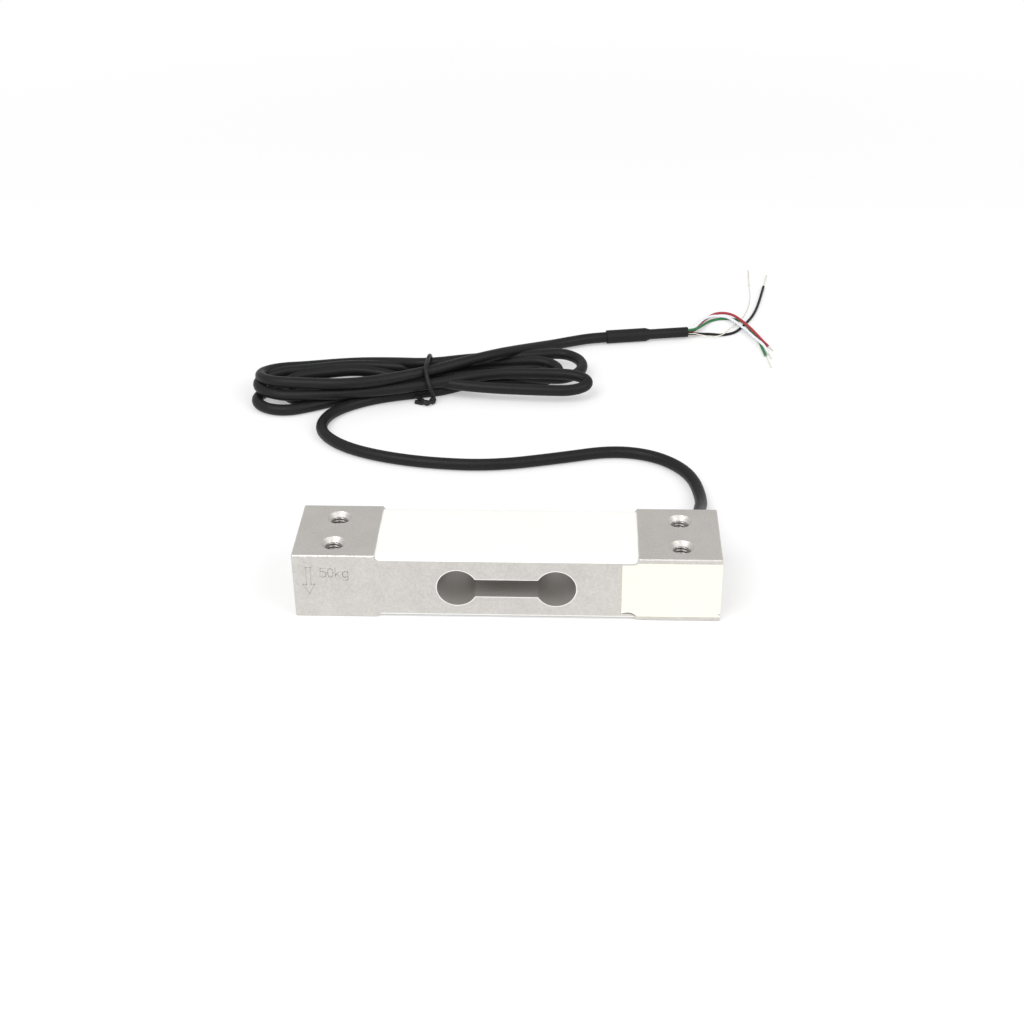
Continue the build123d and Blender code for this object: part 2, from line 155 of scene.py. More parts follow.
class NodeSheet:
    """The node tree of one material."""

    def __init__(self, name: str) -> None:
        """Start a material with an empty tree."""
        self.material = bpy.data.materials.new(name)
        self.material.use_nodes = True
        self.tree = self.material.node_tree
        self.tree.nodes.clear()
        self.place = self.add("ShaderNodeTexCoord").outputs["Object"]

    def add(
        self, kind: str, settings: dict | None = None, sockets: dict | None = None
    ) -> bpy.types.Node:
        """Add a node.

        Args:
            kind: The node's type.
            settings: Its own settings, such as an operation.
            sockets: Numbers, colours or links for its inputs, by name or number.

        Returns:
            The node.
        """
        node = self.tree.nodes.new(kind)
        for name, setting in (settings or {}).items():
            setattr(node, name, setting)
        for name, given in (sockets or {}).items():
            given = given.socket if isinstance(given, Value) else given
            if isinstance(given, bpy.types.NodeSocket):
                self.tree.links.new(given, node.inputs[name])
            else:
                node.inputs[name].default_value = given
        return node

    def noise(self, scale: float, detail: float) -> Value:
        """Noise in the object's own coordinates.

        Args:
            scale: Waves in a metre.
            detail: Octaves of finer noise.

        Returns:
            The noise, around a half.
        """
        sockets = {"Vector": self.place, "Scale": scale, "Detail": detail}
        return Value(self, self.add("ShaderNodeTexNoise", None, sockets).outputs["Fac"])

    def axes(self) -> tuple[Value, Value, Value]:
        """The object's own x, y and z in metres."""
        node = self.add("ShaderNodeSeparateXYZ", None, {"Vector": self.place})
        return tuple(Value(self, socket) for socket in node.outputs)

    def mix(self, factor: object, first: object, second: object) -> bpy.types.NodeSocket:
        """Mix two colours.

        Args:
            factor: Share of the second colour.
            first: The first colour, or the socket that gives it.
            second: The second colour, or the socket that gives it.

        Returns:
            The socket of the mixed colour.
        """
        first, second = (
            (*colour, 1.0) if isinstance(colour, tuple) else colour for colour in (first, second)
        )
        sockets = {0: factor, 6: first, 7: second}
        return self.add("ShaderNodeMix", {"data_type": "RGBA"}, sockets).outputs[2]

    def bump(self, height: Value, distance: float, strength: float) -> bpy.types.NodeSocket:
        """Turn a height into a normal.

        Args:
            height: The height, from 0 to 1.
            distance: The height of 1 in metres.
            strength: Share of the bump that shows.

        Returns:
            The socket of the normal.
        """
        sockets = {"Height": height, "Distance": distance, "Strength": strength}
        return self.add("ShaderNodeBump", None, sockets).outputs[0]

    def surface(self, sockets: dict) -> bpy.types.Material:
        """Finish the material with one surface shader.

        Args:
            sockets: The shader's inputs.

        Returns:
            The material.
        """
        shader = self.add("ShaderNodeBsdfPrincipled", None, sockets)
        self.add("ShaderNodeOutputMaterial", None, {"Surface": shader.outputs[0]})
        return self.material


@dataclass(frozen=True)
class Finish:
    """A finish of two near colours with a fine grain in colour, gloss and relief."""

    name: str
    colour: Colour
    second: Colour
    grain: float
    roughness: tuple[float, float]
    relief: float = 0.0
    metallic: float = 0.0
    specular: float = 0.5
    broad_grain: float = 12.0

    def material(self) -> bpy.types.Material:
        """Build the material of this finish."""
        sheet = NodeSheet(self.name)
        fine = sheet.noise(self.grain, 4.0).step(0.3, 0.7)
        broad = sheet.noise(self.grain / self.broad_grain, 2.0).step(0.35, 0.65)
        low, high = self.roughness
        sockets = {
            "Base Color": sheet.mix(fine * 0.6 + broad * 0.4, self.colour, self.second),
            "Roughness": fine * (high - low) + low,
            "Metallic": self.metallic,
            "Specular IOR Level": self.specular,
        }
        if self.relief:
            sockets["Normal"] = sheet.bump(fine, self.relief, 1.0)
        return sheet.surface(sockets)


@dataclass(frozen=True)
class MilledAluminium:
    """Bead-blasted aluminium with a pale mottle, a painted highlight on the face round the
    opening's rim and painted shade on its bore walls.
    """

    name: str = "milled_aluminium"
    colour: Colour = (0.66, 0.635, 0.605)
    second: Colour = (0.55, 0.53, 0.505)
    # Painted highlight: the pale colour laid on the face along the opening's rim.
    painted_edge_highlight: Colour = (0.97, 0.96, 0.94)
    # Painted shade: the darker colour laid on the bore walls.
    painted_bore_shade: Colour = (0.52, 0.5, 0.475)
    # In metres: half the bores' pitch, the opening's height, the bores' radius, half the slot
    opening: tuple[float, float, float, float] = (0.015, 0.011, 0.0062, 0.003)
    face_depths: tuple[float, float] = (0.0149, 0.01499)
    highlight_fade: tuple[float, float] = (0.00018, 0.0003)
    bore_shade_fade: tuple[float, float] = (0.0002, 0.0006)
    grain: float = 1500.0
    mottle: float = 160.0
    relief: float = 0.000012
    metallic: float = 0.75
    roughness: tuple[float, float] = (0.42, 0.54)

    def from_opening(self, sheet: NodeSheet) -> tuple[Value, Value]:
        """Find where a point lies beside the dog-bone opening.

        Args:
            sheet: The sheet of the material.

        Returns:
            How far outside the opening's outline it lies, and 1 on the front and rear faces.
        """
        pitch, height, radius, slot = self.opening
        x, y, z = sheet.axes()
        along = x.absolute() - pitch
        up = (z - height).absolute()
        from_bores = (along * along + up * up).root() - radius
        from_slot = (up - slot).larger(along)
        on_face = y.absolute().step(*self.face_depths)
        return from_bores.smaller(from_slot), on_face

    def material(self) -> bpy.types.Material:
        """Build the material of this finish."""
        sheet = NodeSheet(self.name)
        fine = sheet.noise(self.grain, 4.0).step(0.3, 0.7)
        broad = sheet.noise(self.mottle, 3.0).step(0.35, 0.65)
        low, high = self.roughness
        distance, on_face = self.from_opening(sheet)
        blasted = sheet.mix(fine * 0.7 + broad * 0.3, self.colour, self.second)
        # Painted shade on the bore walls, fading out towards the faces.
        bore_shade = (1.0 - on_face) * (1.0 - distance.step(*self.bore_shade_fade))
        # Painted highlight on the front and rear faces along the opening's rim.
        edge = on_face * (1.0 - distance.step(*self.highlight_fade))
        bore_shaded = sheet.mix(bore_shade, blasted, self.painted_bore_shade)
        return sheet.surface(
            {
                "Base Color": sheet.mix(edge, bore_shaded, self.painted_edge_highlight),
                "Metallic": self.metallic,
                "Roughness": fine * (high - low) + low,
                "Normal": sheet.bump(fine, self.relief, 1.0),
            }
        )


class Finishes:
    """The finishes of the whole object, one for each material slot of the record."""

    def __init__(self) -> None:
        """Build every material once."""
        finishes = [
            MilledAluminium(),
            Finish(
                "recess_sealant", (0.86, 0.86, 0.825), (0.81, 0.81, 0.78),
                500.0, (0.5, 0.65), 2e-5,
            ),
            Finish(
                "pocket_sealant", (0.87, 0.855, 0.74), (0.84, 0.82, 0.7),
                400.0, (0.5, 0.65), 2e-5,
            ),
            Finish(
                "cable_jacket", (0.009, 0.009, 0.0095), (0.014, 0.014, 0.0145),
                900.0, (0.38, 0.5), 1.2e-5, 0.0, 0.18,
            ),
            Finish("adhesive", (0.75, 0.73, 0.66), (0.66, 0.64, 0.56), 600.0, (0.35, 0.5), 2e-5),
            Finish(
                "shrink_sleeve", (0.009, 0.009, 0.0095), (0.014, 0.014, 0.0145),
                1100.0, (0.45, 0.6), 1e-5, 0.0, 0.2,
            ),
            Finish(
                "tie_wire", (0.01, 0.01, 0.0105), (0.016, 0.016, 0.0165),
                1500.0, (0.36, 0.5), 1e-5, 0.0, 0.22,
            ),
            Finish(
                "tinned_wire", (0.84, 0.8, 0.7), (0.7, 0.67, 0.58),
                3000.0, (0.3, 0.45), 5e-6, 0.3,
            ),
            Finish("bridge_wire", (0.5, 0.03, 0.03), (0.42, 0.02, 0.02), 2000.0, (0.4, 0.5)),
            Finish(
                "board_laminate", (0.03, 0.16, 0.07), (0.025, 0.13, 0.06),
                900.0, (0.35, 0.5), 5e-6,
            ),
            Finish("resistor_body", (0.03, 0.03, 0.035), (0.05, 0.05, 0.055), 2500.0, (0.35, 0.5)),
            Finish("gauge_film", (0.55, 0.26, 0.05), (0.48, 0.22, 0.04), 1500.0, (0.25, 0.35)),
            Finish(
                "gauge_foil", (0.72, 0.66, 0.52), (0.62, 0.56, 0.44),
                4000.0, (0.25, 0.35), 0.0, 0.9,
            ),
            Finish("core_red", (0.4, 0.03, 0.045), (0.34, 0.022, 0.035), 1500.0, (0.35, 0.5)),
            Finish("core_green", (0.012, 0.17, 0.045), (0.01, 0.14, 0.035), 1500.0, (0.35, 0.5)),
            Finish("core_white", (0.85, 0.87, 0.92), (0.78, 0.8, 0.86), 1500.0, (0.35, 0.5)),
            Finish(
                "core_black", (0.008, 0.008, 0.009), (0.012, 0.012, 0.0125),
                1500.0, (0.4, 0.55), 0.0, 0.0, 0.2,
            ),
            Finish(
                "tapped_thread", (0.3, 0.29, 0.27), (0.22, 0.21, 0.2),
                2500.0, (0.3, 0.45), 5e-6, 0.75,
            ),
            # Painted shadow: the near-black strip along the side sealant's lower edge.
            Finish("painted_sealant_shadow", (0.12, 0.115, 0.1), (0.2, 0.19, 0.17), 2500.0, (0.5, 0.6)),
            Finish(
                "engraved_line", (0.42, 0.4, 0.37), (0.5, 0.48, 0.45),
                3000.0, (0.5, 0.6), 0.0, 0.6,
            ),
        ]
        self.by_name = {finish.name: finish.material() for finish in finishes}

    def dress(self, piece: bpy.types.Object, slot: str) -> None:
        """Give a piece the finish of a slot.

        Args:
            piece: A piece or a CAD node.
            slot: Name of the finish.
        """
        piece.data.materials.clear()
        piece.data.materials.append(self.by_name[slot])

    def dress_nodes(self, frame: dict) -> None:
        """Give every CAD node the finish of its slot in the record.
        """
        for name in frame["nodes"]:
            self.dress(bpy.data.objects[name], NODE_SLOTS.get(name) or NODE_SLOTS[kin(name)])


NODE_SLOTS = {
    "spring_element": "milled_aluminium",
    "top_sealant": "recess_sealant",
    "bottom_sealant": "recess_sealant",
    "side_sealant": "pocket_sealant",
    "gauge_carrier": "gauge_film",
    "gauge_grid": "gauge_foil",
    "terminal_strip": "gauge_film",
    "gauge_jumpers": "tinned_wire",
    "bridge_wires": "bridge_wire",
    "compensation_board": "board_laminate",
    "zero_trim": "resistor_body",
    "span_trim": "resistor_body",
    "temperature_resistor": "resistor_body",
    "inner_core_red": "core_red",
    "inner_core_black": "core_black",
    "inner_core_green": "core_green",
    "inner_core_white": "core_white",
    "cable_entry": "cable_jacket",
    "cable_seal": "adhesive",
    "cable_lead": "cable_jacket",
    "cable_hank": "cable_jacket",
    "cable_tail": "cable_jacket",
    "heat_shrink": "shrink_sleeve",
    "twist_tie": "tie_wire",
    "core_red": "core_red",
    "core_white": "core_white",
    "core_green": "core_green",
    "core_black": "core_black",
    "core_tip": "tinned_wire",
    "drain_wire": "tinned_wire",
}


def kin(name: str) -> str:
    """First two words of a node's name, which nodes of one kind share."""
    return "_".join(name.split("_")[:2])


def in_metres(points: list[Point]) -> list[Point]:
    """Turn points in millimetres into metres."""
    return [tuple(value * MM for value in point) for point in points]


def deselect_all() -> None:
    """Leave edit mode and select nothing."""
    if bpy.context.object and bpy.context.object.mode != "OBJECT":
        bpy.ops.object.mode_set(mode="OBJECT")
    bpy.ops.object.select_all(action="DESELECT")


def smooth(piece: bpy.types.Object, shading: Shading) -> None:
    """Shade a mesh.

    Args:
        piece: The mesh object.
        shading: Smooth all over, or only where its faces nearly line up.
    """
    deselect_all()
    piece.select_set(True)
    bpy.context.view_layer.objects.active = piece
    if shading is Shading.SMOOTH:
        bpy.ops.object.shade_smooth()
    else:
        bpy.ops.object.shade_smooth_by_angle(angle=SHARP_ANGLE)


def settle(piece: bpy.types.Object) -> None:
    """Move a mesh's place into its points, so that its object is at the origin."""
    deselect_all()
    piece.select_set(True)
    bpy.context.view_layer.objects.active = piece
    bpy.ops.object.transform_apply(location=True, rotation=True, scale=True)


def nurbs_line(name: str, points: list[Point]) -> bpy.types.Object:
    """A smooth line with these control points.

    Args:
        name: Name of the object.
        points: Control points in metres.

    Returns:
        The curve object, with no thickness yet.
    """
    curve = bpy.data.curves.new(name, "CURVE")
    curve.dimensions = "3D"
    curve.resolution_u = 8
    spline = curve.splines.new("NURBS")
    spline.points.add(len(points) - 1)
    for knot, point in zip(spline.points, points):
        knot.co = (*point, 1.0)
    spline.order_u = 3
    spline.use_endpoint_u = True
    line = bpy.data.objects.new(name, curve)
    bpy.context.scene.collection.objects.link(line)
    return line


def round_wire(name: str, points: list[Point], diameter: float) -> bpy.types.Object:
    """A round cord on a smooth line, with closed ends.

    Args:
        name: Name of the object.
        points: Control points in metres.
        diameter: Its diameter in metres.

    Returns:
        The curve object.
    """
    line = nurbs_line(name, points)
    line.data.bevel_depth = diameter / 2
    line.data.bevel_resolution = 6
    line.data.use_fill_caps = True
    return line


def as_mesh(piece: bpy.types.Object) -> bpy.types.Object:
    """Turn a curve into a mesh."""
    deselect_all()
    piece.select_set(True)
    bpy.context.view_layer.objects.active = piece
    bpy.ops.object.convert(target="MESH")
    return piece


def joined(pieces: list[bpy.types.Object], name: str) -> bpy.types.Object:
    """Join meshes into one piece.

    Args:
        pieces: The meshes.
        name: Name of the piece.

    Returns:
        The joined mesh.
    """
    deselect_all()
    for piece in pieces:
        piece.select_set(True)
    bpy.context.view_layer.objects.active = pieces[0]
    if len(pieces) > 1:
        bpy.ops.object.join()
    pieces[0].name = name
    pieces[0].data.name = name
    return pieces[0]


def middle_line(points: list[Point]) -> tuple[list[Vector], float]:
    """The line that a cord with these control points follows, as Blender draws it.

    Args:
        points: Control points in metres.

    Returns:
        Points along the line, and its length in metres.
    """
    drawn = nurbs_line("middle_line", points)
    mesh = bpy.data.meshes.new_from_object(drawn)
    middle = [vertex.co.copy() for vertex in mesh.vertices]
    bpy.data.meshes.remove(mesh)
    bpy.data.objects.remove(drawn)
    return middle, path_length(middle)


def path_length(path: list[Vector]) -> float:
    """Length of the straight steps from point to point."""
    return sum((after - before).length for before, after in zip(path, path[1:]))


def stranded(
    name: str, path: list[Vector], wire: float, strands: int, lay: float, splay: float = 0.0
) -> bpy.types.Object:
    """A bundle of fine wires twisted round one line, which may spread past its middle.

    Args:
        name: Name of the piece.
        path: Points of the middle line.
        wire: Diameter of one wire in metres.
        strands: Number of wires round the middle one.
        lay: Length of one full twist in metres.
        splay: How far the wires spread at the end, in metres.

    Returns:
        The bundle as one mesh.
    """
    ring = wire / 2 / math.sin(math.pi / strands)
    total = path_length(path)
    wires = []
    for strand in range(strands + 1):
        travelled = 0.0
        points = []
        for index, here in enumerate(path):
            ahead = path[min(index + 1, len(path) - 1)] - path[max(index - 1, 0)]
            across = ahead.cross(UPWARD).normalized()
            up = across.cross(ahead).normalized()
            if index:
                travelled += (here - path[index - 1]).length
            spread = splay * max(0.0, travelled / total - 0.5) * (1 + strand % 3)
            angle = 2 * math.pi * (travelled / lay + strand / strands)
            out = 0.0 if strand == strands else ring + spread
            points.append(here + (across * math.cos(angle) + up * math.sin(angle)) * out)
        wires.append(wire_mesh(f"{name}_{strand}", points, wire))
    return joined(wires, name)


def wire_mesh(name: str, points: list[Vector], diameter: float) -> bpy.types.Object:
    """One fine wire as a mesh with few faces.

    Args:
        name: Name of the object.
        points: Control points in metres.
        diameter: Its diameter in metres.

    Returns:
        The mesh.
    """
    wire = round_wire(name, [tuple(point) for point in points], diameter)
    wire.data.bevel_resolution = 1
    wire.data.resolution_u = 2
    return as_mesh(wire)


@dataclass
class PhotographersTable:
    """White table, soft lamps and the camera."""

    floor_size: float = 6.0
    camera_place: Point = (0.020887, -0.440915, 0.292265)
    camera_right: Point = (0.99921179, 0.03843558, -0.00992491)
    camera_up: Point = (-0.01116551, 0.51205236, 0.85888166)
    lens: float = 59.139
    front_strength: float = 0.9
    rear_strength: float = 0.62
    floor_glow: float = 0.38
    floor_fade: tuple[float, float] = (0.28, 0.55)
    middle: Point = (0.0, 0.1, 0.0)
    lamp_gloss: float = 0.5
    lamps: list[tuple[str, Point, float, float]] = field(
        default_factory=lambda: [
            ("key_lamp", (-0.5, -0.6, 1.1), 0.9, 8.0),
            ("fill_lamp", (0.9, -0.5, 0.9), 0.9, 5.0),
        ]
    )

    def build(self) -> None:
        """Set the camera, the lamps, the white surround and the floor."""
        bpy.context.scene.view_settings.view_transform = "Standard"
        self.set_camera()
        self.set_lamps()
        self.set_surround()
        self.lay_floor()

    def set_camera(self) -> None:
        """Place the camera where the photograph was taken."""
        camera = bpy.data.objects.new("camera", bpy.data.cameras.new("camera"))
        camera.data.sensor_width = 36.0
        camera.data.lens = self.lens
        camera.data.clip_start = 0.01
        right, up = Vector(self.camera_right), Vector(self.camera_up)
        turned = Matrix((right, up, right.cross(up))).transposed().to_4x4()
        camera.matrix_world = Matrix.Translation(self.camera_place) @ turned
        bpy.context.scene.collection.objects.link(camera)
        bpy.context.scene.camera = camera

    def set_lamps(self) -> None:
        """Hang the soft lamps, each aimed at the object."""
        for name, place, size, power in self.lamps:
            lamp = bpy.data.lights.new(name, "AREA")
            lamp.shape = "DISK"
            lamp.size = size
            lamp.energy = power
            lamp.specular_factor = self.lamp_gloss
            holder = bpy.data.objects.new(name, lamp)
            holder.location = place
            aim = Vector(self.middle) - Vector(place)
            holder.rotation_euler = aim.to_track_quat("-Z", "Y").to_euler()
            bpy.context.scene.collection.objects.link(holder)

    def set_surround(self) -> None:
        """Make the world a soft light, stronger from the front, that the camera sees as white."""
        world = bpy.data.worlds.new("surround")
        world.use_nodes = True
        bpy.context.scene.world = world
        nodes, links = world.node_tree.nodes, world.node_tree.links
        nodes.clear()
        place = nodes.new("ShaderNodeTexCoord")
        split = nodes.new("ShaderNodeSeparateXYZ")
        links.new(place.outputs["Generated"], split.inputs[0])
        strength = nodes.new("ShaderNodeMapRange")
        for name, number in (
            ("From Min", -0.5), ("From Max", 0.5),
            ("To Min", self.front_strength), ("To Max", self.rear_strength),
        ):
            strength.inputs[name].default_value = number
        links.new(split.outputs["Y"], strength.inputs["Value"])
        path = nodes.new("ShaderNodeLightPath")
        mixed = nodes.new("ShaderNodeMixShader")
        links.new(path.outputs["Is Camera Ray"], mixed.inputs[0])
        for index in (1, 2):
            light = nodes.new("ShaderNodeBackground")
            light.inputs["Color"].default_value = (1.0, 1.0, 1.0, 1.0)
            links.new(light.outputs[0], mixed.inputs[index])
            if index == 1:
                links.new(strength.outputs["Result"], light.inputs["Strength"])
        output = nodes.new("ShaderNodeOutputWorld")
        links.new(mixed.outputs[0], output.inputs[0])

    def lay_floor(self) -> None:
        """Lay the white floor, which keeps the object's shadow and fades to white far off."""
        deselect_all()
        bpy.ops.mesh.primitive_plane_add(size=self.floor_size, location=(0, 0, 0))
        floor = bpy.context.object
        floor.name = "floor"
        sheet = NodeSheet("white_floor")
        matt = sheet.add("ShaderNodeBsdfDiffuse", None, {"Color": (0.9, 0.9, 0.9, 1.0)})
        glow = sheet.add("ShaderNodeEmission", None, {"Strength": 1.0})
        path = sheet.add("ShaderNodeLightPath")
        direct, glossy = path.outputs["Is Camera Ray"], path.outputs["Is Glossy Ray"]
        seen = Value(sheet, direct) + Value(sheet, glossy)
        x, y, _ = sheet.axes()
        behind = y - self.middle[1]
        away = (x * x + behind * behind).root()
        share = away.step(*self.floor_fade) * (1.0 - self.floor_glow) + self.floor_glow
        mixed = sheet.add(
            "ShaderNodeMixShader", None,
            {0: seen.clamped() * share, 1: matt.outputs[0], 2: glow.outputs[0]},
        )
        sheet.add("ShaderNodeOutputMaterial", None, {"Surface": mixed.outputs[0]})
        floor.data.materials.append(sheet.material)


@dataclass
class MeasuringCable:
    """The cable from the rear face through its tied hank to the sleeve."""

    diameter: float = 4.25
    exit: Point = (60.4, 15.0, 11.0)
    tie_x: float = -36.0
    lead: list[Point] = field(
        default_factory=lambda: [
            (60.4, 15, 11), (60.4, 27, 11), (61.5, 40, 6), (63.7, 54, 2.15), (61, 72.5, 2.15),
            (50, 85, 2.15), (34, 89, 2.15), (14.5, 83, 2.15), (-9, 77, 2.15), (-32, 78.5, 2.15),
            (-51, 83.5, 2.15), (-65, 91, 2.15), (-73.5, 101.5, 2.15), (-73.2, 112.4, 2.15),
            (-67.0, 121.4, 2.15), (-54.5, 129.3, 2.15),
        ]
    )
    tail: list[Point] = field(
        default_factory=lambda: [
            (-36.0, 135.0, 10.4), (-24.5, 142.4, 10.5), (-12, 150.8, 10.2), (-3, 159.6, 8.0),
            (8.2, 172.9, 3.76), (12.5, 176.4, 2.95), (20, 180.3, 2.7), (27.6, 183.26, 2.7),
            (47.57, 186.55, 2.7),
        ]
    )

    def folds(self) -> list["HankFold"]:
        """The hank's eight half loops, in the order that the cable runs through them."""
        return [
            HankFold(1, (134.3, 2.15), 0.3, (150.5, 2.15), (160.5, 2.15), 8.7,
                     [(-29, 136.6, 2.15), (-15, 146.2, 2.15)],
                     [(-4.5, 159.7, 2.15), (-18, 153.0, 2.2)]),
            HankFold(-1, (142.7, 2.3), -89.5, (137.0, 2.15), (117.8, 2.15), 11.3,
                     [(-64, 141.2, 2.15)], [(-83, 119.4, 2.15), (-61, 131.6, 2.2)]),
            HankFold(1, (136.2, 6.2), 14, (130.3, 5.0), (140.2, 7.4), 10.6,
                     [(-18, 132.2, 5.2)], [(-12, 141.2, 7.2)]),
            HankFold(-1, (131.9, 6.5), -86, (121.4, 6.4), (143.5, 6.4), 14.8,
                     [(-58, 125.2, 6.4)], [(-64, 148.6, 6.8)]),
            HankFold(1, (144.9, 6.5), 3, (157.5, 4.6), (143.9, 2.15), 10.3,
                     [(-18, 154.2, 4.6)], [(-16, 141.8, 2.6)]),
            HankFold(-1, (138.5, 2.3), -82, (142.0, 5.4), (125.4, 2.15), 9.5,
                     [(-60, 146.0, 6.2)], [(-77, 126.8, 2.15), (-62, 135.9, 2.3)]),
            HankFold(1, (140.5, 6.3), 12, (142.0, 4.2), (163.6, 5.0), 10.6,
                     [(-16, 144.8, 5.0)], [(-6, 158.0, 5.8), (-20, 150.6, 8.6)]),
            HankFold(-1, (141.9, 10.4), -86, (147.5, 6.0), (123.5, 10.9), 14.3,
                     [(-50, 149.0, 7.4), (-67, 152.6, 5.5)], [(-62, 122.9, 10.7)]),
        ]

    def route(self) -> list[Point]:
        """Control points of the whole cable in millimetres."""
        points = list(self.lead)
        for fold in self.folds():
            points += fold.points(self.tie_x)
        return points + self.tail

    def build(self, finishes: Finishes, with_pieces: list[bpy.types.Object]) -> None:
        """Args:
            finishes: The finishes.
            with_pieces: The pieces that sit on the cable; not used.
        """
        points = in_metres(self.route())
        cable = round_wire("measuring_cable", points, self.diameter * MM)
        finishes.dress(cable, "cable_jacket")
        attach(cable, "root")
        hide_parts("cable_lead", "cable_hank", "cable_tail")
        _, length = middle_line(points)
        LOG.info("measuring_cable: %.3f m long", length)
        in_metres([self.exit])[0]


@dataclass(frozen=True)
class HankFold:
    """One half loop of the hank, out from the tie and back."""

    side: int
    slot: tuple[float, float]
    bend_x: float
    near: tuple[float, float]
    far: tuple[float, float]
    reach: float
    out: list[Point]
    back: list[Point]
    steps: int = 6

    def points(self, tie_x: float) -> list[Point]:
        """Control points of the half loop.

        Args:
            tie_x: Where the tie is along the bar.

        Returns:
            The points in millimetres, from the tie out and round, and not back at the tie.
        """
        points = [(tie_x, *self.slot), *self.out]
        for step in range(self.steps + 1):
            angle = math.pi * (step / self.steps - 0.5)
            bulge = 1.0 if step in (0, self.steps) else 1.0 / math.cos(math.pi / (2 * self.steps))
            share = (1 + math.sin(angle)) / 2
            points.append(
                (
                    self.bend_x + self.side * self.reach * math.cos(angle) * bulge,
                    self.near[0] + (self.far[0] - self.near[0]) * share,
                    self.near[1] + (self.far[1] - self.near[1]) * share,
                )
            )
        return points + self.back


@dataclass
class TwistTie:
    """The coated wire round the hank's waist, with its twisted ends on the floor."""

    diameter: float = 1.65
    ring: list[Point] = field(
        default_factory=lambda: [
            (-34.2, 128.2, 1.0), (-33.6, 129.2, 1.8), (-34.0, 129.0, 4.2), (-35.0, 128.4, 7.0),
            (-36.2, 130.8, 10.0), (-36.7, 132.4, 13.1), (-36.4, 138.0, 13.35), (-36.1, 144.4, 13.1),
            (-36.0, 147.0, 10.5), (-36.0, 148.6, 7.0), (-36.0, 147.8, 2.5), (-35.8, 146.0, 0.83),
            (-35.4, 140.0, 0.83), (-34.8, 134.0, 0.83), (-33.8, 130.6, 0.9), (-33.4, 128.4, 1.6),
            (-34.6, 127.4, 0.9),
        ]
    )
    tails: list[list[Point]] = field(
        default_factory=lambda: [
            [(-33.6, 128.5, 0.8), (-34.9, 126.9, 1.8), (-36.2, 126.1, 0.9), (-37.7, 127.6, 1.8),
             (-39.0, 129.4, 1.5), (-40.5, 130.7, 2.0)],
            [(-34.2, 128.9, 1.9), (-35.2, 127.2, 0.8), (-36.6, 126.9, 1.9), (-38.0, 127.3, 0.8),
             (-39.4, 128.0, 0.8), (-40.7, 128.5, 0.8)],
        ]
    )

    def build(self, finishes: Finishes) -> bpy.types.Object:
        """Build the tie as one mesh.

        Args:
            finishes: The finishes.

        Returns:
            The tie.
        """
        parts = [
            as_mesh(round_wire(f"tie_part_{index}", in_metres(points), self.diameter * MM))
            for index, points in enumerate([self.ring, *self.tails])
        ]
        tie = joined(parts, "cable_twist_tie")
        smooth(tie, Shading.SMOOTH)
        finishes.dress(tie, "tie_wire")
        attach(tie, "root")
        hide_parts("twist_tie")
        LOG.info("cable_twist_tie: %d faces", len(tie.data.polygons))
        return tie


JACKET_TIP = Vector((47.57, 186.55, 2.7))
SLEEVE_MOUTH = Vector((67.50, 189.83, 2.7))
SLEEVE_SIDE = Vector((-0.1626, 0.9867, 0.0))


@dataclass(frozen=True)
class FreeCore:
    """One free core: its place in the bundle, its route past the sleeve and its bare tip."""

    colour: str
    across: float
    up: float
    tip_length: float
    route: list[Point]
    diameter: float = 1.1
    tip_diameter: float = 0.5
    tip_strands: int = 6
    tip_lay: float = 3.0
    tip_splay: float = 0.08
    tip_starts_inside: float = 1.0

    def points(self) -> list[Point]:
        """Control points in millimetres, from the jacket's end to the core's end."""
        offset = SLEEVE_SIDE * self.across + Vector((0.0, 0.0, self.up))
        return [tuple(JACKET_TIP + offset), tuple(SLEEVE_MOUTH + offset), *self.route]

    def build(self, finishes: Finishes) -> None:
        """Args:
            finishes: The finishes.
        """
        name = f"free_core_{self.colour}"
        points = in_metres(self.points())
        core = round_wire(name, points, self.diameter * MM)
        finishes.dress(core, f"core_{self.colour}")
        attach(core, "root")
        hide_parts(f"core_{self.colour}")
        tip = self.stripped_tip(finishes)
        _, length = middle_line(points)
        LOG.info("%s: %.4f m long", name, length)

    def stripped_tip(self, finishes: Finishes) -> bpy.types.Object:
        """Twisted strands past the end of the insulation.

        Args:
            finishes: The finishes.

        Returns:
            The strands as one piece.
        """
        end, before = (Vector(point) * MM for point in (self.route[-1], self.route[-2]))
        along = (end - before).normalized()
        steps = 3 + round(self.tip_length)
        start = end - along * self.tip_starts_inside * MM
        reach = (self.tip_length + 0.8) * MM
        path = [start + along * reach * step / steps for step in range(steps + 1)]
        tip = stranded(
            f"bare_strands_{self.colour}", path, self.tip_diameter * MM / 3, self.tip_strands,
            self.tip_lay * MM, self.tip_splay * MM,
        )
        smooth(tip, Shading.SMOOTH)
        finishes.dress(tip, "tinned_wire")
        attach(tip, "root")
        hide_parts(f"core_tip_{self.colour}")
        return tip


